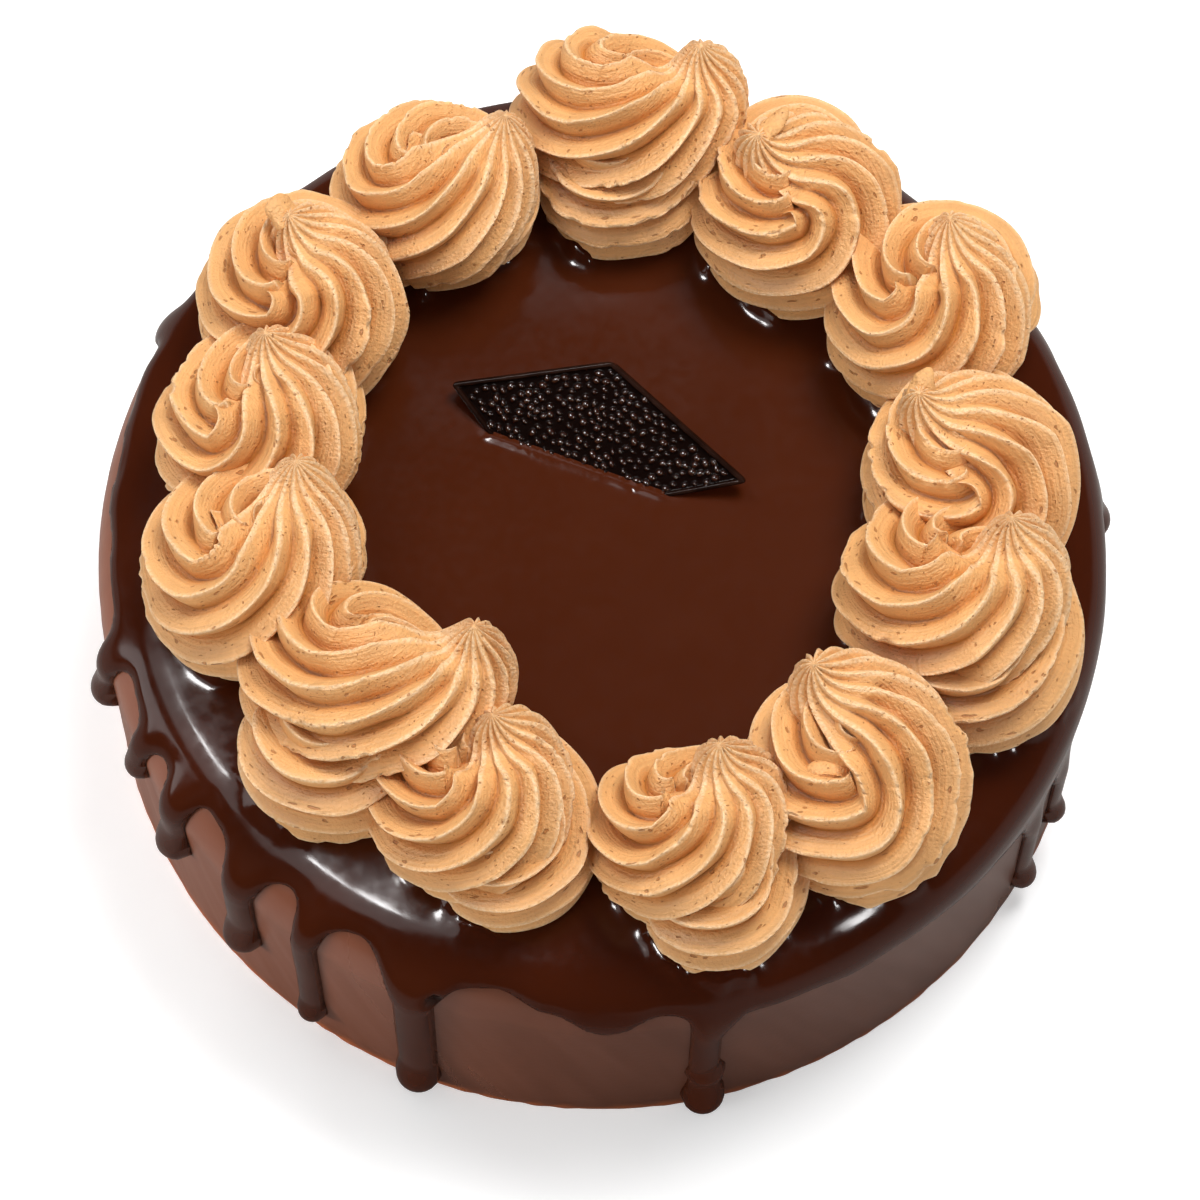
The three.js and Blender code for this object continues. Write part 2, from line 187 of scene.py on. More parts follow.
def addNode(tree, kind, inputs=None, **options):
    made = tree.nodes.new("ShaderNode" + kind)
    for key, value in options.items():
        setattr(made, key, value)
    setInputs(tree, made, inputs or {})
    return made


# Blend of two colours: input 0 is the share of the second, 6 and 7 are the colours.
def mixColours(tree, share, first, second, blend="MIX"):
    inputs = {0: share, 6: first, 7: second}
    return addNode(tree, "Mix", inputs, data_type="RGBA", blend_type=blend).outputs[2]


def mapRange(tree, value, source, target=(0.0, 1.0)):
    keys = ("Value", "From Min", "From Max", "To Min", "To Max")
    return addNode(tree, "MapRange", dict(zip(keys, (value, *source, *target)))).outputs[0]


def maths(tree, operation, first, second, kind="Math", **options):
    return addNode(tree, kind, {0: first, 1: second}, operation=operation, **options).outputs[0]


def attribute(tree, name, output="Fac"):
    return addNode(tree, "Attribute", attribute_name=name).outputs[output]


def addNoise(tree, place, scale, detail):
    return addNode(tree, "TexNoise", {"Vector": place, "Scale": scale, "Detail": detail})


# Sets what every food has, with a bump from a field, and more.
def setLook(tree, bsdf, look, colour, roughness, field, more={}):
    strength, distance = look["bump"]
    bump = addNode(tree, "Bump", {"Height": field, "Strength": strength, "Distance": distance})
    setInputs(tree, bsdf, {"Base Color": colour, "Roughness": roughness, "Normal": bump.outputs[0],
        "Specular IOR Level": look["specular"], **more})


# Cloudy variation on Object coordinates, shared by the foods: a wide and a fine field, 0 to 1.
def mottleGroup():
    tree = bpy.data.node_groups.new("foodMottle", "ShaderNodeTree")
    details = {"Wide": 3.0, "Fine": 2.0}
    for name in details:
        tree.interface.new_socket(name + " Scale", in_out="INPUT", socket_type="NodeSocketFloat")
    for name in details:
        tree.interface.new_socket(name, in_out="OUTPUT", socket_type="NodeSocketFloat")
    source = tree.nodes.new("NodeGroupInput")
    result = tree.nodes.new("NodeGroupOutput")
    place = addNode(tree, "TexCoord").outputs["Object"]
    for name, detail in details.items():
        noise = addNoise(tree, place, source.outputs[name + " Scale"], detail)
        tree.links.new(noise.outputs[0], result.inputs[name])
    return tree


mottle = mottleGroup()
middling = (0.3, 0.7)  # usual range of such a field


def newFood(name, look):
    material, tree, bsdf = newMaterial(name)
    wide, fine = look["mottle"]
    made = addNode(tree, "Group", node_tree=mottle)
    setInputs(tree, made, {"Wide Scale": wide, "Fine Scale": fine})
    return material, tree, bsdf, made.outputs["Wide"], made.outputs["Fine"]


creamLook = dict(
    # The crest colour is a painted highlight along the crests and the groove colour painted shade in the grooves;
    # speck is the brown of the pits.
    crest=(0.84, 0.565, 0.318), wall=(0.73, 0.38, 0.142), groove=(0.51, 0.168, 0.024), speck=(0.4, 0.15, 0.04),
    low=(0.0, 0.45), high=(0.82, 0.98),  # where the groove ends and the crest begins
    mottle=(140.0, 1500.0), patch=(0.35, 0.6), patchShare=(0.3, 1.0),
    cloudShade=(0.93, 1.04), streakShade=(0.92, 1.06), streakScale=1500.0, streakDetail=2.0, stretch=0.12,
    pits=((480.0, 0.25), (900.0, 0.24)),  # cells in a metre, and the widest pit as a share of a cell
    pitSizes=(0.2, 1.0), pitEdge=0.06, pitShare=0.8, pitStretch=1.4, bendScale=800.0, bendDetail=1.0, bend=0.0012,
    grain=(0.0, 0.45), bump=(0.8, 0.0004), roughness=0.55, specular=0.3,
)


# Whipped cream: painted highlight along the crests and painted shade deeper in the grooves, with brown pits and
# streaks along the rope.
def creamMaterial(look=creamLook):
    material, tree, bsdf, wide, fine = newFood("whippedCream", look)
    crest = attribute(tree, "crest")
    rope = attribute(tree, "rope", "Vector")
    drawn = maths(tree, "MULTIPLY", rope, (1, 1, look["stretch"]), "VectorMath")
    streak = addNoise(tree, drawn, look["streakScale"], look["streakDetail"]).outputs[0]
    # Painted shade darkens the grooves, and a patchy painted highlight lightens the crests.
    colour = mixColours(tree, mapRange(tree, crest, look["low"]), look["groove"], look["wall"])
    patch = mapRange(tree, fine, look["patch"], look["patchShare"])
    high = maths(tree, "MULTIPLY", mapRange(tree, crest, look["high"]), patch)
    colour = mixColours(tree, high, colour, look["crest"])
    cloud = mapRange(tree, wide, middling, look["cloudShade"])
    shade = maths(tree, "MULTIPLY", cloud, mapRange(tree, streak, middling, look["streakShade"]))
    shadeColour = addNode(tree, "CombineColor", {0: shade, 1: shade, 2: shade}).outputs[0]
    colour = mixColours(tree, 1.0, colour, shadeColour, "MULTIPLY")
    place = maths(tree, "MULTIPLY", rope, (1, 1, look["pitStretch"]), "VectorMath")
    bent = addNoise(tree, place, look["bendScale"], look["bendDetail"]).outputs["Color"]
    shift = maths(tree, "MULTIPLY", bent, (look["bend"],) * 3, "VectorMath")
    moved = maths(tree, "ADD", place, shift, "VectorMath")
    pitMask = 0.0
    for scale, widest in look["pits"]:
        cells = addNode(tree, "TexVoronoi", {"Vector": moved, "Scale": scale})
        size = addNode(tree, "SeparateColor", {0: cells.outputs["Color"]}).outputs[0]
        reach = mapRange(tree, size, look["pitSizes"], (0.0, widest))
        depth = maths(tree, "SUBTRACT", reach, cells.outputs["Distance"])
        pitMask = maths(tree, "MAXIMUM", pitMask, mapRange(tree, depth, (0.0, look["pitEdge"])))
    colour = mixColours(tree, maths(tree, "MULTIPLY", pitMask, look["pitShare"]), colour, look["speck"])
    grains = [mapRange(tree, field, middling, look["grain"]) for field in (fine, streak)]
    height = maths(tree, "SUBTRACT", maths(tree, "ADD", *grains), pitMask)
    setLook(tree, bsdf, look, colour, look["roughness"], height)
    return material


glazeLook = dict(
    # The turned colour is painted shade over the rounded edge.
    deep=(0.055, 0.0106, 0.0028), thin=(0.07, 0.016, 0.0055), turned=(0.045, 0.008, 0.0022),
    # The pit colour is painted shadow in the dimples.
    pitShade=(0.012, 0.003, 0.0012), mottle=(55.0, 420.0), cloud=(0.35, 0.7), cloudShare=(0.0, 0.22),
    roughness=(0.1, 0.17), bump=(0.12, 0.0008), specular=0.2,
)


# Poured glaze: glossy, with painted shade over the rounded edge and painted shadow in its pits, lighter where it is
# thin, with a faint wave.
def glazeMaterial(look=glazeLook):
    material, tree, bsdf, wide, fine = newFood("pouredGlaze", look)
    cloud = mapRange(tree, wide, look["cloud"], look["cloudShare"])
    share = maths(tree, "ADD", attribute(tree, "thin"), cloud, use_clamp=True)
    colour = mixColours(tree, share, look["deep"], look["thin"])
    # Painted shade darkens the glaze over the rounded edge.
    colour = mixColours(tree, attribute(tree, "turned"), colour, look["turned"])
    # Painted shadow darkens the dimples.
    colour = mixColours(tree, attribute(tree, "pitShade"), colour, look["pitShade"])
    setLook(tree, bsdf, look, colour, mapRange(tree, fine, middling, look["roughness"]), wide)
    return material


icingLook = dict(
    base=(0.124, 0.036, 0.0155), light=(0.146, 0.047, 0.024), foot=(0.3, 0.075, 0.02),
    mottle=(34.0, 650.0), strokeShare=(0.35, 1.0), roughness=(0.36, 0.27),
    bump=(0.12, 0.0002), specular=0.6,
)


# Side icing: satin, with faint slanting strokes of the spatula and a ragged reddish line at its foot.
def icingMaterial(look=icingLook):
    material, tree, bsdf, wide, fine = newFood("sideIcing", look)
    stroke = attribute(tree, "stroke")
    share = maths(tree, "MULTIPLY", stroke, mapRange(tree, wide, middling, look["strokeShare"]))
    colour = mixColours(tree, share, look["base"], look["light"])
    colour = mixColours(tree, attribute(tree, "foot"), colour, look["foot"])
    setLook(tree, bsdf, look, colour, mapRange(tree, stroke, (0.0, 1.0), look["roughness"]), fine)
    return material


plaqueLook = dict(
    # The pebble brown is partly the chocolate's own colour and partly painted light where the pebbles catch it.
    base=(0.0045, 0.0012, 0.0006), pebbleColourAndLight=(0.026, 0.0075, 0.0042), worn=(0.02, 0.0075, 0.0045),
    mottle=(160.0, 1200.0), patch=(0.35, 0.65), patchShare=(0.2, 1.0), gloss=(0.15, 0.5),
    bump=(0.15, 0.0002), roughness=0.25, specular=0.08, coatRoughness=0.05, coatIor=1.58,
)


# Moulded dark chocolate: glossy on the pebbles and brown there, partly painted light, dull between them, lighter on
# the worn rim.
def plaqueMaterial(look=plaqueLook):
    material, tree, bsdf, wide, fine = newFood("darkChocolate", look)
    patch = mapRange(tree, wide, look["patch"], look["patchShare"])
    worn = maths(tree, "MULTIPLY", attribute(tree, "rim"), patch)
    gloss = mapRange(tree, attribute(tree, "dome"), look["gloss"])
    # Brown on the domes, partly painted light where the pebbles catch it.
    colour = mixColours(tree, gloss, look["base"], look["pebbleColourAndLight"])
    colour = mixColours(tree, worn, colour, look["worn"])
    coat = {"Coat Weight": gloss, "Coat Roughness": look["coatRoughness"], "Coat IOR": look["coatIor"]}
    setLook(tree, bsdf, look, colour, look["roughness"], fine, coat)
    return material


# How far the glaze has sunk, by the distance from the start of the rounding.
def glazeDroop(along):
    return cake["droop"] * unit((along - cake["droopFrom"]) / cake["droopLength"]) ** 2


# Height of the glaze's upper face: level, then the rounding of the edge.
def glazeLevel(x, y):
    along = np.hypot(x, y) - (cake["radius"] - cake["glazeEdge"])
    past = np.clip(along, 0, cake["glazeEdge"] + cake["overhang"])
    edge = cake["glazeEdge"] + cake["glazeTop"] - cake["top"]
    return cake["glazeTop"] - edge + np.sqrt(edge ** 2 - past ** 2) - glazeDroop(along)


# Cream swirls
piping = dict(
    teeth=14, depth=0.3, blunt=0.06,  # star of the nozzle
    steps=(0, 0.025, 0.07, 0.16, 0.28, 0.4, 0.5, 0.6, 0.72, 0.84, 0.93, 0.975),  # points of a tooth, from a crest
    sag=0.3, sagMost=1.6, steepest=0.98,  # how far the underside of the rope spreads
    coilStart=5.0, coilEnd=1.0, coilOpen=0.14,  # how far inside the coil starts and ends
    riseFrom=0.2, riseTo=0.8, peakPower=1.8,
    startRadius=0.25, startShare=0.12, tipPower=0.8,  # rounded start and drawn tip of the rope
    stations=290, twist=0.3, clampShare=0.985, peakCrest=0.6,
    outward=1.1, ribStep=9.7, seedStep=3.1,  # place of a rib in the noise
    depthSpread=0.4, ribRound=20, ribShift=31.0, ribNoise=(14.0, 11),  # uneven depth of the grooves
    nick=0.1, nickPower=5, nickFloor=0.05, nickNoise=(2.1, 31), chipShare=0.5, chipNoise=(4.7, 51),
    tearNoise=(17.0, 41), torn=(-0.15, 0.5), tornSide=(-0.6, 0.1),  # where the crests are nicked
    wobble=0.8, wobbleShift=40, wobbleNoise=(11.0, 70),
    sink=0.7, hangHeight=22, between=(0, 0.33, 0.67),
    tailGrid=(30, 40), tailEnd=0.995, tailRoot=4.0, tailTilt=0.3, tailLump=0.6, tailShift=50, tailNoise=(3.0, 81),
    core=(9.0, 9.0, 10.5), coreUp=3.0, coreLean=0.3,
    eggGrid=(32, 48), eggPole=1.55, eggLump=0.5, eggShift=30, eggNoise=(4.0, 86),
    eggCrest=0.5, endCrest=0.6,  # tint of the fills, tails and ends
)
singleCoil = dict(turns=1.15, coil=6.5, wide=1.0, rope=17.0, lift=12.5, rise=4.0, peak=17.0,
    peakFrom=0.5, tipFrom=0.66, drawFrom=0.55, leanFrom=0.45)
doubleCoil = dict(turns=1.5, coil=7.5, wide=1.0, rope=16.0, lift=9.0, rise=9.0, peak=17.0,
    peakFrom=0.62, tipFrom=0.72, drawFrom=0.65, leanFrom=0.3)
# A tail has its run in X, Y and Z, half-width and half-thickness, and a fill its middle and three radii.
swirlKeys = ("x", "y", "size", "end", "leanX", "leanY")  # the winding ends in a direction in degrees
swirls = [  # kind of coil, the values above, and what else differs
    (doubleCoil, 0, 86, 1.09, 45, 19, 10, dict(wide=1.2)),
    (singleCoil, 44, 71, 1.08, 120, -10.5, 4.5, dict(tail=(6.0, 6.5, -0.5, 2.4, 1.4))),
    (singleCoil, 73, 44.5, 1.09, 65, 0.5, 10.5, {}),
    (singleCoil, 80.5, 6.5, 1.09, 125, -12.5, 8, dict(tail=(2.0, 6.5, -0.5, 3.0, 1.7))),
    (doubleCoil, 74, -28, 1.17, 45, 9.5, 11.5, dict(wide=1.15)),
    (singleCoil, 56, -62.5, 1.12, 120, -10.5, 14.5, dict(fills=[(-8.5, -4.2, 27.6, 5.2, 3.2, 3.4)])),
    (doubleCoil, 20.5, -80.5, 1.03, 70, 4, 16, {}),
    (doubleCoil, -23.5, -72.5, 1.06, 78, 1.5, 13.5, {}),
    (doubleCoil, -56, -48.5, 1.16, 30, 26, 7, dict(wide=1.3)),
    (singleCoil, -72, -18, 1.11, 60, 7.5, 13.5, {}),
    (singleCoil, -71, 14.5, 1.07, 75, 0, 12.5, {}),
    (singleCoil, -63, 45.5, 1.08, 95, -3.5, 9.5, dict(tail=(-3.5, 4.8, -1.0, 3.6, 2.2))),
    (singleCoil, -36.5, 70.5, 1.01, 35, 14.5, 10.5, {}),
]


# Middle and radius of the rope at shares of its length: a coil that closes while it climbs and leans
# to the peak, rounded at its start and drawn out to nothing at the peak.
def ropePath(swirl, share):
    end = math.radians(swirl["end"])
    wind = end - 2 * math.pi * swirl["turns"] * (1 - share)
    drawn = (piping["coilEnd"] - swirl["coil"]) * ease(share, swirl["drawFrom"], 1)
    coil = swirl["coil"] + drawn - piping["coilStart"] * (1 - ease(share, 0, piping["coilOpen"]))
    climb = unit((share - swirl["peakFrom"]) / (1 - swirl["peakFrom"])) ** piping["peakPower"]
    risen = ease(share, piping["riseFrom"], piping["riseTo"])
    height = swirl["lift"] + swirl["rise"] * risen + swirl["peak"] * climb
    lean = ease(share, swirl["leanFrom"], 1)
    leanX = swirl["leanX"] - swirl["wide"] * piping["coilEnd"] * math.cos(end)
    leanY = swirl["leanY"] - piping["coilEnd"] * math.sin(end)
    middle = joined(swirl["wide"] * coil * np.cos(wind) + lean * leanX,
        coil * np.sin(wind) + lean * leanY, height) * swirl["size"]
    start = unit(share / piping["startShare"])
    rounded = piping["startRadius"] + (1 - piping["startRadius"]) * np.sqrt(start * (2 - start))
    tip = unit((share - swirl["tipFrom"]) / (1 - swirl["tipFrom"]))
    radius = swirl["rope"] * rounded * (1 - tip) ** piping["tipPower"]
    return wind, middle, swirl["size"] * radius


# The star of the nozzle carried along the rope. Its roll is held still where the rope climbs, and arms
# on the inside of a bend end before its middle, so that the surface doesn't fold there.
# Gives the points, their share of the way to a crest, and their place in the straight rope.
def ropeSurface(swirl, seed):
    share = np.linspace(0, 1, piping["stations"])
    wind, middle, radius = ropePath(swirl, share)
    slope = np.gradient(middle, share, axis=0)
    speed = lengths(slope)
    ahead = slope / speed
    bend = np.gradient(ahead, share, axis=0) / speed
    out = joined(np.cos(wind), np.sin(wind), 0 * wind)
    out = out - (out * ahead).sum(1, keepdims=True) * ahead
    out /= lengths(out)
    up = np.cross(out, ahead)
    roll = np.cumsum((np.gradient(out, axis=0) * up).sum(1))
    roll -= roll[len(roll) // 2]
    tooth = (np.arange(piping["teeth"])[:, None] + np.array(piping["steps"])).ravel()
    turn = 2 * math.pi * tooth / piping["teeth"]
    point = np.abs((tooth % 1) * 2 - 1)  # 1 on a crest, 0 in a groove
    blunt = piping["blunt"]
    fall = (np.hypot(1 - point, blunt) - blunt) / (math.hypot(1, blunt) - blunt)  # round crests, sharp creases
    length = np.cumsum(speed[:, 0]) / len(share)
    outer = length + piping["outward"] * wind * swirl["rope"]
    aside = piping["ribRound"] * np.cos(turn)[None, :]
    above = piping["ribRound"] * np.sin(turn)[None, :] + piping["ribShift"] * seed
    place = joined(outer[:, None], aside, above)
    uneven = noiseAt(place, *piping["ribNoise"], seed)
    star = 1 - piping["depth"] * (1 + piping["depthSpread"] * uneven) * fall
    spin = turn[None, :] - roll[:, None] + piping["twist"] * (wind[:, None] - math.radians(swirl["end"]))
    rib = piping["ribStep"] * (np.round(tooth) % piping["teeth"])[None, :]
    along = joined(outer[:, None], rib, piping["seedStep"] * seed)
    nicks = noiseAt(along, *piping["nickNoise"], seed)
    chips = noiseAt(along, *piping["chipNoise"], seed)
    tears = noiseAt(along, *piping["tearNoise"], seed)
    notch = unit(nicks - piping["nickFloor"]) + piping["chipShare"] * np.abs(chips)
    torn = ease(tears, *piping["torn"]) * ease(np.cos(spin), *piping["tornSide"])
    star = star - piping["nick"] * torn * notch * point ** piping["nickPower"]
    reach = radius[:, None] * star
    arm = reach[..., None] * (np.cos(spin)[..., None] * out[:, None] + np.sin(spin)[..., None] * up[:, None])
    below = np.clip(-arm[..., 2] / np.maximum(reach, tiny), 0, piping["steepest"])
    spread = np.minimum((1 - below ** 2) ** -piping["sag"], piping["sagMost"])
    arm[..., :2] *= spread[..., None]
    towards = (arm * bend[:, None]).sum(-1)
    arm *= np.minimum(1, piping["clampShare"] / np.maximum(towards, piping["clampShare"]))[..., None]
    # Share of the way to a crest, raised towards the thin peak; the cream's colour turns it into painted highlight on
    # crests and painted shade in grooves.
    crest = unit(point[None, :] + piping["peakCrest"] * (1 - radius / radius.max())[:, None])
    flat = joined(reach * np.cos(turn), reach * np.sin(turn), length[:, None])
    return middle[:, None] + arm, crest, flat


# Short flat tail left by the nozzle: a lumpy fin from inside the peak to its own rounded end.
def tailSurface(tail, peak, seed):
    rows, columns = piping["tailGrid"]
    share = np.linspace(0.0, piping["tailEnd"], rows)[:, None, None]
    turn = np.linspace(0, 2 * math.pi, columns, endpoint=False)[None, :, None]
    root = peak - np.array([0, 0, piping["tailRoot"]])
    run = np.array(tail[:3]) + peak - root
    side = np.cross(run, [0, piping["tailTilt"], 1.0])
    side /= np.linalg.norm(side)
    above = np.cross(side, run) / np.linalg.norm(run)
    ring = tail[3] * np.cos(turn) * side + tail[4] * np.sin(turn) * above
    points = root + share * run + (1 - share ** 3) ** 0.5 * ring
    return points + piping["tailLump"] * drift(points + piping["tailShift"] * seed, *piping["tailNoise"])


# Cream in a hollow of the coil: a lumpy egg about a middle, with three radii.
def eggSurface(middle, radii, seed):
    rows, columns = piping["eggGrid"]
    height = np.linspace(-piping["eggPole"], piping["eggPole"], rows)[:, None]
    turn = np.linspace(0, 2 * math.pi, columns, endpoint=False)[None, :]
    egg = joined(np.cos(height) * np.cos(turn), np.cos(height) * np.sin(turn), np.sin(height))
    points = np.array(middle) + np.array(radii) * egg
    lump = noiseAt(points + piping["eggShift"] * seed, *piping["eggNoise"])[..., None]
    return points + piping["eggLump"] * lump * egg


# Core of a coil: an egg that leans a little with the peak.
def coreSurface(swirl, seed):
    lean = piping["coreLean"] * np.array([swirl["leanX"], swirl["leanY"], 0])
    middle = lean + np.array([0, 0, swirl["lift"] + piping["coreUp"]])
    return eggSurface(middle * swirl["size"], np.array(piping["core"]) * swirl["size"], seed)


# Swirl: the rope set down on the glaze, its core, fills and tail, each closed. Also gives points close
# together on the rope, by which the glaze finds its foot.
def swirlMesh(name, swirl, seed):
    points, crest, flat = ropeSurface(swirl, seed)
    wander = drift(points + piping["wobbleShift"] * seed, *piping["wobbleNoise"])
    place = np.array([swirl["x"], swirl["y"], cake["glazeTop"]])
    points = points + piping["wobble"] * wander + place
    floor = glazeLevel(points[..., 0], points[..., 1])
    low = unit(1 - (points[..., 2] - cake["glazeTop"]) / piping["hangHeight"])
    hang = (floor - cake["glazeTop"]) * low
    points[..., 2] = np.maximum(points[..., 2] + hang, floor - piping["sink"])
    dense = np.vstack([(points[:-1] * (1 - t) + points[1:] * t).reshape(-1, 3) for t in piping["between"]])
    eggs = [coreSurface(swirl, seed)] + [eggSurface(fill[:3], fill[3:], seed) for fill in swirl.get("fills", ())]
    shells = [(points, crest, flat, True)]
    shells += [(egg + place, np.full(egg.shape[:2], piping["eggCrest"]), egg + place, False) for egg in eggs]
    if "tail" in swirl:
        tail = tailSurface(swirl["tail"], points[-1].mean(0), seed)
        shells.append((tail, np.full(tail.shape[:2], piping["endCrest"]), tail, False))
    allPoints, allCrests, allFlat, faces = [], [], [], []
    base = 0
    for grid, gridCrest, gridFlat, turned in shells:
        faces += [base + numbers for numbers in tubeFaces(*gridCrest.shape, turned)]
        for whole, part in ((allPoints, grid), (allFlat, gridFlat)):
            whole.append(np.vstack([part.reshape(-1, 3), part[0].mean(0), part[-1].mean(0)]))
        allCrests.append(np.append(gridCrest.ravel(), [piping["endCrest"]] * 2))
        base += gridCrest.size + 2
    mesh = meshFrom(name, np.vstack(allPoints), *faces)
    setAttribute(mesh, "crest", np.concatenate(allCrests))
    setAttribute(mesh, "rope", np.vstack(allFlat) / perMetre)
    return mesh, dense


cream = creamMaterial()
creamPoints = []
for k, (coil, *values, more) in enumerate(swirls):
    swirl = dict(coil, **dict(zip(swirlKeys, values)), **more)
    name = "cream_swirl_%02d" % (k + 1)
    mesh, dense = swirlMesh("piped_" + name, swirl, k + 1)
    addPiece("piped_" + name, mesh, name, cream)
    creamPoints.append(dense)


# Plaque
plaque = dict(
    foot=(-24.3, 20.3, 71.0), turn=-20.0, tilt=35.0, thick=2.6, sunk=70.4,
    tips=((18, -12.7), (56.7, 9.1), (20.6, 24.5), (-11.9, 8.4)), corner=1.8, cornerSteps=9,
    waterline=40.5,  # length of the line in which the face meets the glaze
    rim=0.8, rimSlope=0.5, pocket=0.7, bevel=0.35, bevelWidth=0.4, wave=0.05, waveNoise=(3.0, 8),
    tries=4500, apart=1.5, margin=0.8, seed=5,  # pebbles tried, and how they keep apart and off the rim
    sizes=(0.55, 0.95), stretches=(0.78, 1.25), heights=(0.65, 0.9), domePower=0.7,
    sides=((1.004, 0.8), (1.0, 1.8)), back=(0.985, 0.5),  # share of the outline at a depth, and on the back
    columns=540, rows=165, hub=0.012,
)


# What lies along a direction in the plane, and what lies beside it.
def turnBack(away, turn):
    across = away[:, 0] * math.cos(turn) + away[:, 1] * math.sin(turn)
    beside = away[:, 1] * math.cos(turn) - away[:, 0] * math.sin(turn)
    return across, beside


# Rounded outline: straight sides, and at each tip a curve that stays inside it.
def plaqueOutline(count):
    tips = np.array(plaque["tips"])
    before = np.roll(tips, 1, axis=0) - tips
    after = np.roll(tips, -1, axis=0) - tips
    start = tips + plaque["corner"] * before / lengths(before)
    stop = tips + plaque["corner"] * after / lengths(after)
    t = np.linspace(0, 1, plaque["cornerSteps"])[None, :, None]
    curve = (1 - t) ** 2 * start[:, None] + 2 * t * (1 - t) * tips[:, None] + t ** 2 * stop[:, None]
    path = np.vstack([curve.reshape(-1, 2), curve[0, :1]])
    run = np.concatenate([[0], np.cumsum(np.linalg.norm(np.diff(path, axis=0), axis=1))])
    even = np.linspace(0, run[-1], count, endpoint=False)
    return np.stack([np.interp(even, run, path[:, axis]) for axis in range(2)], -1)


# Distance of points inside the plaque from its four sides.
def plaqueInset(points):
    tips = np.array(plaque["tips"])
    side = np.roll(tips, -1, axis=0) - tips
    inward = joined(-side[:, 1], side[:, 0]) / lengths(side)
    return ((points[:, None] - tips[None]) * inward[None]).sum(-1).min(1)


# Domes on a sunken field: each point takes the highest dome that it is in.
def pebbleHeight(points):
    draw = np.random.default_rng(plaque["seed"])
    low, high = points.min(0), points.max(0)
    spots = draw.uniform(low, high, (plaque["tries"], 2))
    chosen = []
    for spot in spots[plaqueInset(spots) > plaque["rim"] + plaque["margin"]]:
        if all(np.hypot(*(spot - other)) > plaque["apart"] for other in chosen):
            chosen.append(spot)
    height = np.zeros(len(points))
    for spot in chosen:
        size = draw.uniform(*plaque["sizes"])
        stretch = draw.uniform(*plaque["stretches"])
        across, beside = turnBack(points - spot, draw.uniform(0, math.pi))
        inside = unit(1 - ((across / stretch) ** 2 + (beside * stretch) ** 2) / size ** 2)
        height = np.maximum(height, draw.uniform(*plaque["heights"]) * size * inside ** plaque["domePower"])
    return height


# Plate on a polar grid: a raised rim round a sunken pebbled field, sides and a plain back.
def plaqueMesh():
    columns = plaque["columns"]
    outline = plaqueOutline(columns)
    centre = outline.mean(0)
    share = np.linspace(plaque["hub"], 1, plaque["rows"])
    face = (centre + share[:, None, None] * (outline - centre)[None]).reshape(-1, 2)
    inset = plaqueInset(face)
    sunk = ease(inset, plaque["rim"], plaque["rim"] + plaque["rimSlope"])
    domes = pebbleHeight(face)
    bevel = plaque["bevel"] * (1 - ease(inset, 0, plaque["bevelWidth"])) ** 2
    height = sunk * (domes - plaque["pocket"]) - bevel
    height += plaque["wave"] * noiseAt(np.column_stack([face, 0 * inset]), *plaque["waveNoise"])
    front = np.column_stack([face, height])
    rings = [*plaque["sides"], *((grow, plaque["thick"]) for grow in plaque["back"])]
    sides = [np.column_stack([centre + grow * (outline - centre), np.full(columns, -deep)]) for grow, deep in rings]
    points = np.vstack([front, *sides, [[*centre, height[0]], [*centre, -plaque["thick"]]]])
    rows = plaque["rows"] + len(sides)
    rim = np.zeros(len(points))
    rim[:len(front)] = 1 - sunk
    rim[len(front):-2] = 1
    turn = Matrix.Rotation(math.radians(plaque["turn"]), 3, "Z")
    tilt = turn @ Matrix.Rotation(math.radians(plaque["tilt"]), 3, "X")
    points = points @ np.array(tilt).T + np.array(plaque["foot"])
    points[:, 2] = np.maximum(points[:, 2], plaque["sunk"])
    mesh = meshFrom("pebbled_plaque", points, *tubeFaces(rows, columns, True))
    setAttribute(mesh, "rim", rim)
    setAttribute(mesh, "dome", np.append(domes, np.zeros(len(points) - len(domes))))
    return mesh


addPiece("pebbled_plaque", plaqueMesh(), "chocolate_plaque", plaqueMaterial())

# Glaze
glaze = dict(
    thick=2.0, lip=0.9, lipReach=4.5, thinLength=18, borderReach=0.4, beadJoin=1.0,  # sheet and its border
    topCells=200, sideStep=0.95, foot=1.5, under=0.05, leastSkin=0.4,
    ripples=((0.5, 23, 0), (0.4, 41, 1)),  # waves of the border: height, number round the cake and start
    dripRoot=5.0, rootReach=4, funnel=18.0, funnelShare=0.85, neck=0.95, blend=4.0, blendLeast=0.5,
    swellFrom=3.2, dripTall=0.72, bulbTall=1.1, tallFrom=-3, tallTo=14,
    beadBlend=2.0, beadTall=0.95, beadSoft=0.8, pitDepth=0.93, pitPower=4,
    drawStep=0.05, drawRounds=4, drawLeast=0.15, drawMost=0.7,  # how points are drawn back onto the outline
    cell=0.4, diagonal=1.414, gridHalf=118.0, nearGlaze=(-0.25, 0.9), growSteps=12, far=99.0,
    climb=1.5, climbFrom=0.4, climbReach=1.15, climbEdge=(-16, -6), climbRipple=0.8, rippleNoise=(3.3, 91),
    plaqueClimb=0.8, plaqueReach=0.7,
    sway=0.08, edgeSway=0.3, swayEdge=(-14, 2), swayThick=(0.3, 1.2), swayNoise=(17.0, 92), sinkEnd=(4, 20),
    # Where the glaze counts as thin; then the painted shade over the rounded edge: its start, its fade down the side
    # and how much, and how much it fades on beads.
    thinSkin=(0.5, 1.7), shadeEdge=(-9, 4), shadeEnd=(16, 26), shadeFade=0.75, shadeBead=(0.5, 2.5), beadFade=0.4,
)
borderMarks = [  # direction in degrees, length of glaze from the start of the rounding to its border
    (-180, 11), (-155, 11), (-143, 8.5), (-118, 9), (-102, 10), (-95, 14), (-89, 21), (-83, 16), (-66, 20.5),
    (-56, 21), (-44, 24), (-32, 28), (-12, 24), (15, 19), (50, 16), (80, 20), (110, 16), (150, 13), (180, 11),
]
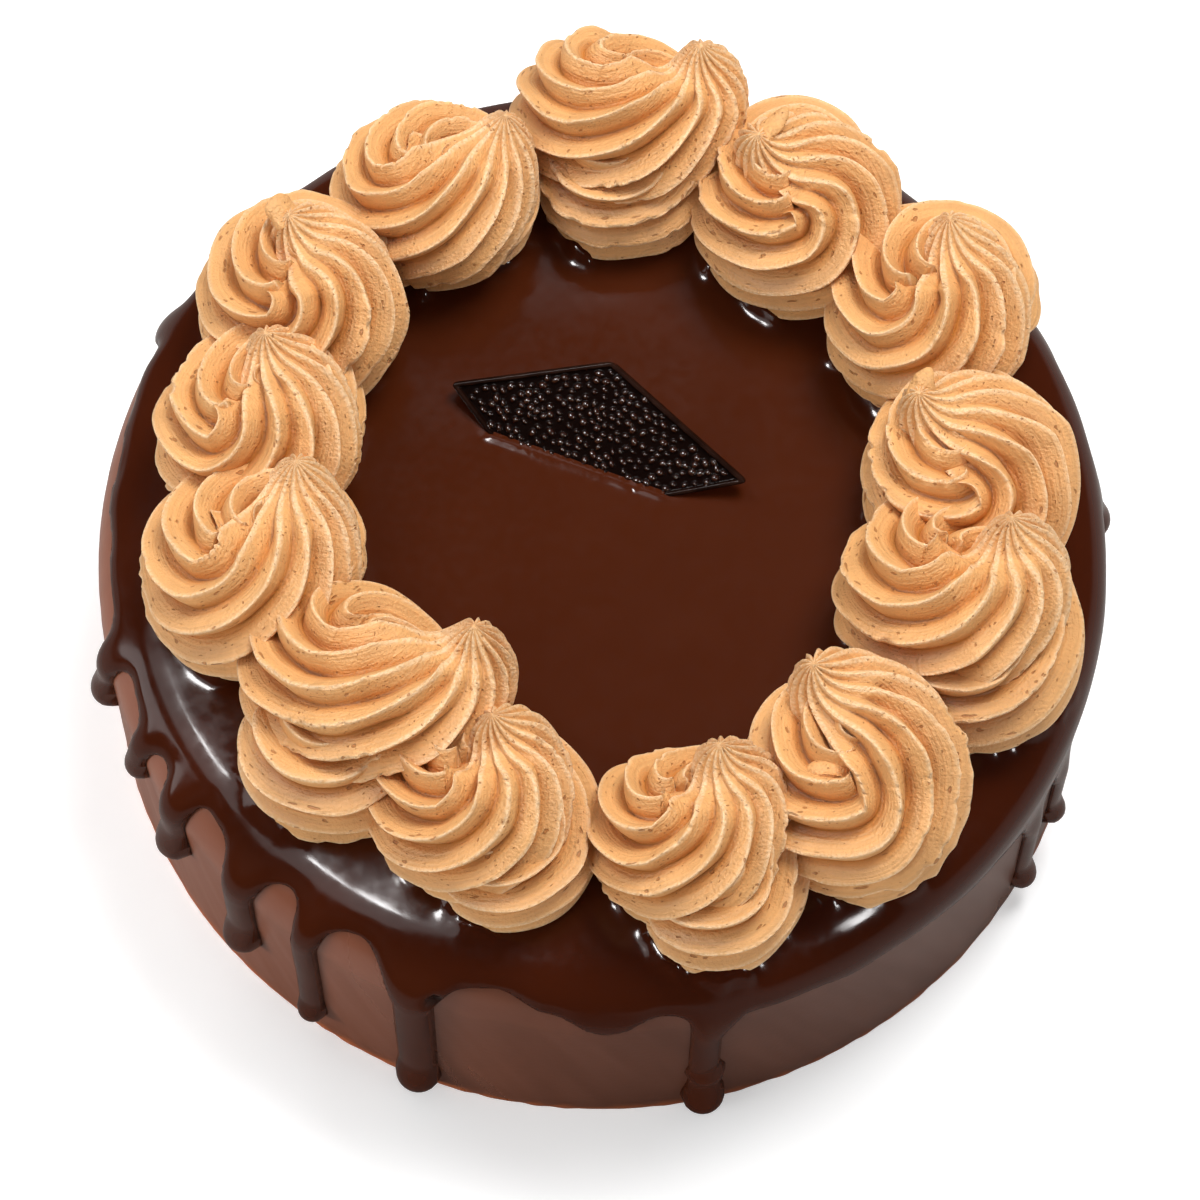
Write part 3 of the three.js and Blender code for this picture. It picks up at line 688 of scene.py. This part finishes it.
frontDrips = [  # direction in degrees, height of the lowest point, half-width, bulb radius, left and right flare
    (-77.5, 1.5, 3.7, 5.0, 0.1, 2.0), (-110.5, 1.5, 5.0, 5.2, 1.5, 1.3), (-124.2, 9.5, 3.4, 3.6, 0.3, 0.8),
    (-133.8, 25.0, 4.3, 4.8, 1.0, 0.7), (-145.5, 37.0, 4.2, 4.8, 0.8, 0.3), (-153.8, 47.0, 3.2, 3.7, 0.4, 0.6),
    (-165.0, 40.0, 3.6, 4.5, 0.7, 0.5), (-24.0, 15.0, 3.0, 3.6, 0.8, 0.8), (-31.0, 6.0, 3.2, 3.8, 0.8, 0.8),
]
backDrips = [  # the same by a rule, because they aren't seen
    (8 + 25 * k + 6 * math.sin(5 * k), 24 + 15 * math.sin(2.3 * k + 1),
     3.5 + 0.9 * math.sin(3.1 * k), 4.1 + 0.9 * math.sin(3.1 * k + 0.4), 0.9, 0.9) for k in range(7)
]
beads = [(-77.3, 22.5, 4.4)]  # direction, height and radius of a bead that was caught higher on a drip
dimples = [(-107.8, 15.9, 1.7), (-103.9, 13.9, 1.2)]  # direction, length from the start of the rounding, radius


# Point on the glazed face: along is measured from the start of the rounding, outwards, over the edge
# and down the side, and off is the distance from the face.
def facePoint(angle, along, off):
    edge = cake["glazeEdge"]
    turned = np.clip(along / edge, 0, math.pi / 2)
    past = np.maximum(along - edge * math.pi / 2, 0)
    out = cake["radius"] - edge + np.minimum(along, 0) + (edge + off) * np.sin(turned)
    up = cake["top"] - edge + (edge + off) * np.cos(turned) - past
    return joined(out * np.cos(angle), out * np.sin(angle), up)


# Length from the start of the rounding down to a height on the side.
def dripTip(low):
    return cake["glazeEdge"] * math.pi / 2 + cake["top"] - cake["glazeEdge"] - low


# Distance on the face from a spot at a direction in degrees and a length along.
def faceGap(angle, along, at, spot):
    return np.hypot(cake["radius"] * turnFrom(angle, at), along - spot)


# Length of glaze down to its border, eased from one mark to the next.
def borderAt(angle):
    marks = np.array(borderMarks, float)
    at = (np.degrees(angle) + 180) % 360 - 180
    k = np.clip(np.searchsorted(marks[:, 0], at, side="right"), 1, len(marks) - 1)
    t = ease(at, marks[k - 1, 0], marks[k, 0])
    return marks[k - 1, 1] + (marks[k, 1] - marks[k - 1, 1]) * t


# Outline and thickness of the glaze. The outline is a field in millimetres, above 0 inside: the border
# of the cap and the drips, joined with rounded corners. A drip is a strip that leaves the cap in a
# funnel and ends in a round bulb, and its thickness is that of a half-round bead.
def glazeField(angle, along):
    ripple = sum(high * np.sin(count * angle + start) for high, count, start in glaze["ripples"])
    inside = borderAt(angle) + ripple - along
    bead = np.zeros_like(along)
    for at, foot, half, bulb, left, right in frontDrips + backDrips:
        tip = dripTip(foot)
        root = borderAt(np.radians(at)) - glaze["dripRoot"]
        turned = turnFrom(angle, at)
        funnelEnd = root + min(glaze["funnel"], glaze["funnelShare"] * (tip - 2 * bulb - root))
        flare = np.where(turned > 0, right, left) * (1 - ease(along, root, funnelEnd))
        swell = ease(along, tip - glaze["swellFrom"] * bulb, tip - bulb)
        width = half * (glaze["neck"] + flare) * (1 - swell) + bulb * swell
        away = np.hypot(cake["radius"] * turned, np.maximum(along - (tip - bulb), 0))
        strip = np.minimum(width - away, along - root + glaze["rootReach"])
        inside = softMax(inside, strip, glaze["blend"] * (1 - swell) + glaze["blendLeast"])
        tall = glaze["dripTall"] * half + (glaze["bulbTall"] * bulb - glaze["dripTall"] * half) * swell
        tall = tall * ease(along, root + glaze["tallFrom"], root + glaze["tallTo"])
        bead = np.maximum(bead, tall * np.sqrt(unit(1 - (away / width) ** 2)))
    for at, height, radius in beads:
        away = faceGap(angle, along, at, dripTip(height))
        inside = softMax(inside, radius - away, glaze["beadBlend"])
        ball = glaze["beadTall"] * radius * np.sqrt(unit(1 - (away / radius) ** 2))
        bead = softMax(bead, ball, glaze["beadSoft"])
    return inside, bead


# A sheet that thins down the side and rounds off at its border, or the bead of a drip.
def glazeThickness(inside, bead, along):
    thinned = glaze["thick"] + (glaze["lip"] - glaze["thick"]) * unit(along / glaze["thinLength"]) ** 2
    rounded = unit(inside / glaze["lipReach"])
    sheet = thinned * np.sqrt(rounded * (2 - rounded))
    border = unit(inside / glaze["borderReach"])
    return np.maximum(softMax(sheet, bead, glaze["beadJoin"]) * border, 0)


# Distance from the foot of what stands in the glaze, as a function of X and Y. Points near the glaze are
# marked in a square grid, and the distances are grown from there cell by cell.
def standingField(sets):
    cell = glaze["cell"]
    half = glaze["gridHalf"]
    count = int(2 * half / cell)
    lowest, highest = glaze["nearGlaze"]
    reach = np.full((count, count), glaze["far"])
    for points in sets:
        above = points[:, 2] - glazeLevel(points[:, 0], points[:, 1])
        low = points[(above > lowest) & (above < highest)]
        spot = np.clip(((low[:, :2] + half) / cell).astype(int), 0, count - 1)
        reach[spot[:, 0], spot[:, 1]] = 0
    for _ in range(glaze["growSteps"]):
        for shift, axis in ((1, 0), (-1, 0), (1, 1), (-1, 1)):
            reach = np.minimum(reach, np.roll(reach, shift, axis) + cell)
        for turn in ((1, 1), (1, -1), (-1, 1), (-1, -1)):
            reach = np.minimum(reach, np.roll(reach, turn, (0, 1)) + glaze["diagonal"] * cell)

    def field(x, y):
        place = np.clip(joined(x, y) + half, 0, 2 * half - 2 * cell) / cell - 0.5
        place = np.clip(place, 0, count - 2)
        corner = place.astype(int)
        t = place - corner
        i, j = corner[..., 0], corner[..., 1]
        u, v = t[..., 0], t[..., 1]
        return ((1 - u) * (1 - v) * reach[i, j] + u * (1 - v) * reach[i + 1, j]
            + (1 - u) * v * reach[i, j + 1] + u * v * reach[i + 1, j + 1])
    return field


# Distance from the line in which the plaque's face meets the glaze.
def waterline(points):
    across, beside = turnBack(points[:, :2] - np.array(plaque["foot"][:2]), math.radians(plaque["turn"]))
    past = np.maximum(np.maximum(-across, across - plaque["waterline"]), 0)
    return np.hypot(past, beside)


# Square grid laid out as a disc: squares become circles, so that the cells stay even. Gives directions,
# shares of the radius, and the numbers of the points round the border.
def discGrid(cells):
    line = np.linspace(-1, 1, cells + 1)
    a, b = np.meshgrid(line, line, indexing="ij")
    wide = np.abs(a) > np.abs(b)
    long, short = np.where(wide, a, b), np.where(wide, b, a)
    quarter = math.pi / 4 * short / np.where(long == 0, 1, long)
    angle = np.where(wide, quarter, math.pi / 2 - quarter)
    angle = np.where(long < 0, angle + math.pi, angle) % (2 * math.pi)
    number = np.arange((cells + 1) ** 2).reshape(cells + 1, cells + 1)
    border = np.unique(np.concatenate([number[0], number[-1], number[:, 0], number[:, -1]]))
    border = border[np.argsort(np.round(angle.ravel()[border], 9))]
    return angle.ravel(), np.abs(long).ravel(), border


# Points just outside the outline, moved along the slope of its field until they lie on it.
def drawBack(angle, along):
    step, most = glaze["drawStep"], glaze["drawMost"]
    for _ in range(glaze["drawRounds"]):
        here = glazeField(angle, along)[0]
        slopeX = (glazeField(angle + step / cake["radius"], along)[0] - here) / step
        slopeS = (glazeField(angle, along + step)[0] - here) / step
        pull = here / np.maximum(slopeX ** 2 + slopeS ** 2, glaze["drawLeast"])
        angle = angle - np.clip(pull * slopeX, -most, most) / cake["radius"]
        along = along - np.clip(pull * slopeS, -most, most)
    return angle, along


# Height that the glaze climbs where cream or the plaque stands in it.
def glazeClimb(place, along, standing):
    gap = standing(place[:, 0], place[:, 1])
    ripple = 1 + glaze["climbRipple"] * noiseAt(place, *glaze["rippleNoise"])
    climb = glaze["climb"] * ripple * np.exp(-np.maximum(gap - glaze["climbFrom"], 0) / glaze["climbReach"])
    climb *= ease(-along, *glaze["climbEdge"])
    return climb + glaze["plaqueClimb"] * np.exp(-waterline(place) / glaze["plaqueReach"])


# Glaze as a closed skin: a disc on the top, and over the edge a grid that is kept inside the outline.
# Points just outside are drawn back onto it, where the upper and the under face meet.
def glazeMesh(standing):
    rim = cake["radius"] - cake["glazeEdge"]
    discAngle, discShare, border = discGrid(glaze["topCells"])
    columns = len(border)
    side = np.arange(0, dripTip(glaze["foot"]) + 2 * glaze["sideStep"], glaze["sideStep"])[1:]
    angle = np.concatenate([discAngle, np.tile(discAngle[border], len(side))])
    along = np.concatenate([(discShare - 1) * rim, np.repeat(side, columns)])
    inside, _ = glazeField(angle, along)
    rowNumbers = np.concatenate([border, len(discAngle) + np.arange(len(side) * columns)])
    sideQuads = rowNumbers[gridQuads(len(side) + 1, columns)][:, ::-1]
    sideQuads = sideQuads[(inside[sideQuads] > 0).any(1)]
    discQuads = gridQuads(glaze["topCells"] + 1, glaze["topCells"] + 1, False)[:, ::-1]
    outside = np.zeros(inside.size, bool)
    outside[np.unique(sideQuads)] = True
    outside &= inside <= 0
    angle[outside], along[outside] = drawBack(angle[outside], along[outside])
    inside, bead = glazeField(angle, along)
    thickness = glazeThickness(np.where(outside, 0, inside), bead, along)
    pitted = sum(np.exp(-(faceGap(angle, along, at, spot) / size) ** glaze["pitPower"]) for at, spot, size in dimples)
    thickness = thickness * (1 - glaze["pitDepth"] * pitted)
    place = facePoint(angle, along, 0)
    climb = glazeClimb(place, along, standing)
    sway = glaze["sway"] + glaze["edgeSway"] * ease(along, *glaze["swayEdge"])
    sway *= noiseAt(place, *glaze["swayNoise"])
    sway *= ease(thickness, *glaze["swayThick"])
    sink = glazeDroop(along) * (1 - ease(along, *glaze["sinkEnd"]))
    raised = np.maximum(thickness + climb + sway - sink, np.minimum(thickness, glaze["leastSkin"]))
    upper = facePoint(angle, along, raised)
    under = facePoint(angle, along, glaze["under"])
    underNumbers = np.where(outside, np.arange(inside.size), np.arange(inside.size) + inside.size)
    points = np.vstack([upper, under, [[0, 0, cake["top"] + glaze["under"]]]])
    faces = [discQuads, sideQuads, underNumbers[sideQuads][:, ::-1],
        ringFan(underNumbers[border], len(points) - 1, True)]
    used = np.unique(np.concatenate([f.ravel() for f in faces]))
    number = np.full(len(points), -1)
    number[used] = np.arange(len(used))
    mesh = meshFrom("poured_glaze", points[used], *[number[f] for f in faces])
    # Painted shade over the rounded edge, where little light falls: it fades down the side and on the beads of the
    # drips.
    turned = ease(along, *glaze["shadeEdge"])
    turned *= 1 - glaze["shadeFade"] * ease(along, *glaze["shadeEnd"])
    turned *= 1 - glaze["beadFade"] * ease(bead, *glaze["shadeBead"])
    thin = 1 - ease(thickness, *glaze["thinSkin"])
    # Thin glaze, the painted shade over the edge and the painted shadow in the dimples, for both faces.
    for name, values in (("thin", thin), ("turned", turned), ("pitShade", pitted)):
        setAttribute(mesh, name, np.append(np.tile(values, 2), 0)[used])
    return mesh


addPiece("poured_glaze", glazeMesh(standingField(creamPoints)), "chocolate_glaze", glazeMaterial())

# Side icing
icing = dict(
    columns=720, sideRows=40, edgeRows=12, footRows=(0, 0.35, 0.8, 1.3), sideFrom=2,
    strokes=0.14, slant=0.35, stretch=0.12, strokeWaves=((5.5, 1, 61), (2.4, 0.6, 62), (17.0, 0.8, 63)),
    strokeFoot=3, strokeTop=(-2, 4), strokeTint=(0.5, 0.45),
    footFrom=0.2, footLine=3.0, footRagged=(0.7, 0.6), footBulge=0.35, bulgeRagged=(0.5, 0.6),
    raggedStretch=0.3, raggedNoise=(3.2, 64),
)


# Round body from its foot up the side and over the edge. The strokes of the spatula are noise that is turned
# more the higher it is, and the foot is a line that swells and fades.
def bodyMesh():
    edge, radius = cake["bodyEdge"], cake["radius"]
    sideTop = cake["top"] - edge
    rise = np.concatenate([icing["footRows"], np.linspace(icing["sideFrom"], sideTop, icing["sideRows"])])
    turned = np.linspace(0, math.pi / 2, icing["edgeRows"])[1:]
    out = np.concatenate([np.full(len(rise), radius), radius - edge + edge * np.cos(turned)])
    up = np.concatenate([rise, sideTop + edge * np.sin(turned)])
    rows, columns = len(up), icing["columns"]
    angle = np.linspace(0, 2 * math.pi, columns, endpoint=False)
    lift = up[:, None] + 0 * angle[None]
    slanted = angle[None] + icing["slant"] * lift / radius
    drawn = joined(radius * np.cos(slanted), radius * np.sin(slanted), icing["stretch"] * lift)
    stroke = sum(share * noiseAt(drawn, size, seed) for size, share, seed in icing["strokeWaves"])
    low, high = (sideTop + past for past in icing["strokeTop"])
    onSide = ease(lift, 0, icing["strokeFoot"]) * (1 - ease(lift, low, high))
    ring = joined(radius * np.cos(angle), radius * np.sin(angle))
    place = np.concatenate([np.broadcast_to(ring, (*lift.shape, 2)), icing["raggedStretch"] * lift[..., None]], -1)
    ragged = noiseAt(place, *icing["raggedNoise"])
    least, more = icing["footRagged"]
    foot = 1 - ease(lift, icing["footFrom"], icing["footLine"] * (least + more * ragged))
    least, more = icing["bulgeRagged"]
    bulge = icing["footBulge"] * foot * (least + more * ragged)
    away = out[:, None] + icing["strokes"] * stroke * onSide + bulge
    points = joined(away * np.cos(angle), away * np.sin(angle), lift).reshape(-1, 3)
    points = np.vstack([points, [[0, 0, 0], [0, 0, cake["top"]]]])
    mesh = meshFrom("iced_body", points, *tubeFaces(rows, columns))
    middle, swing = icing["strokeTint"]
    setAttribute(mesh, "stroke", np.append(unit(middle + swing * stroke).ravel(), [0, 0]))
    setAttribute(mesh, "foot", np.append(foot.ravel(), [0, 0]))
    return mesh


addPiece("iced_body", bodyMesh(), "cake_body", icingMaterial())

# Stage, light and camera
studio = dict(
    lens=150.0, sensor=36.0, elevation=67.66, distance=1.1473, target=(0.00003, 0.01159, 0.0), roll=0.69,
    floor=(0.9, 0.9, 0.9), floorReach=3, floorRoughness=0.9, glow=0.3, world=0.48, lampTarget=(0, 0, 0.05),
    mirroredFloor=(0.09, 0.085, 0.08), mirroredSides=(0.36, 0.35, 0.335), mirroredWorld=0.04,  # in reflections
    sidesFrom=(0.02, 0.12),  # distance to the left or right over which the floor turns to its sides
)
lamps = [  # place and size in metres, watts, and use: diffuse light, highlights or the iced side alone
    ((0.3, 0.36, 1.15), (0.5, 0.5), 12.0, "diffuse"),
    ((-0.5, 0.45, 0.95), (0.45, 0.45), 2.5, "diffuse"),
    ((-0.8, -0.6, 0.6), (0.4, 0.4), 2.9, "diffuse"),
    ((-0.85, -0.15, 0.06), (0.3, 0.1), 7.0, "side"),
    ((-0.42, 0.02, 1.05), (0.22, 0.26), 14.0, "glossy"),
    ((-0.46, -0.06, 1.0), (0.6, 0.6), 3.2, "glossy"),
    ((-1.0, 0.0, 0.45), (0.3, 0.6), 2.5, "glossy"),
    ((0.66, -0.62, 0.72), (0.16, 0.2), 5.5, "glossy"),
    ((-0.1, 0.66, 1.0), (0.4, 0.3), 0.6, "glossy"),
]


# Pale floor, dim in reflections, less so at the sides, that glows a little for the camera.
def addStage():
    mesh = bpy.data.meshes.new("floor")
    far = studio["floorReach"]
    mesh.from_pydata([(-far, -far, 0), (far, -far, 0), (far, far, 0), (-far, far, 0)], [], [(0, 1, 2, 3)])
    floor = addObject("floor", mesh)
    material, tree, bsdf = newMaterial("paleFloor")
    path = addNode(tree, "LightPath")
    place = addNode(tree, "TexCoord").outputs["Object"]
    across = addNode(tree, "SeparateXYZ", {0: place}).outputs[0]
    beside = mapRange(tree, maths(tree, "ABSOLUTE", across, 0.0), studio["sidesFrom"])
    mirrored = mixColours(tree, beside, studio["mirroredFloor"], studio["mirroredSides"])
    colour = mixColours(tree, path.outputs["Is Glossy Ray"], studio["floor"], mirrored)
    glow = mapRange(tree, path.outputs["Is Camera Ray"], (0.0, 1.0), (0.0, studio["glow"]))
    setInputs(tree, bsdf, {
        "Base Color": colour, "Roughness": studio["floorRoughness"],
        "Emission Color": (1, 1, 1), "Emission Strength": glow,
    })
    mesh.materials.append(material)


# White surroundings, dim in reflections, and the lamps, all turned to the cake.
def addLights():
    world = bpy.data.worlds.new("studio")
    scene.world = world
    world.use_nodes = True
    tree = world.node_tree
    mirrored = addNode(tree, "LightPath").outputs["Is Glossy Ray"]
    strength = mapRange(tree, mirrored, (0.0, 1.0), (studio["world"], studio["mirroredWorld"]))
    setInputs(tree, tree.nodes["Background"], {"Color": (1, 1, 1), "Strength": strength})
    for index, (place, size, energy, use) in enumerate(lamps):
        lamp = bpy.data.lights.new("softbox%d" % (index + 1), "AREA")
        lamp.shape = "RECTANGLE"
        lamp.size, lamp.size_y = size
        lamp.energy = energy
        holder = addObject(lamp.name, lamp)
        holder.location = place
        holder.visible_diffuse = use != "glossy"
        holder.visible_glossy = use == "glossy"
        if use == "side":
            sideOnly = bpy.data.collections.new("sideOnly")
            sideOnly.objects.link(bpy.data.objects["iced_body"])
            holder.light_linking.receiver_collection = sideOnly
        aim = Vector(studio["lampTarget"]) - holder.location
        holder.rotation_euler = aim.to_track_quat("-Z", "Y").to_euler()


# Camera on the photograph's line of sight, with a slight roll.
def addCamera():
    lens = bpy.data.cameras.new("camera")
    lens.sensor_width = studio["sensor"]
    lens.lens = studio["lens"]
    camera = addObject("camera", lens)
    tilt = Matrix.Rotation(math.radians(90 - studio["elevation"]), 4, "X")
    roll = Matrix.Rotation(math.radians(studio["roll"]), 4, "Z")
    back = Matrix.Translation((0, 0, studio["distance"]))
    camera.matrix_world = Matrix.Translation(studio["target"]) @ tilt @ roll @ back
    scene.camera = camera


addStage()
addLights()
addCamera()
scene.view_settings.view_transform = "Standard"
print("stage, lamps and camera placed")
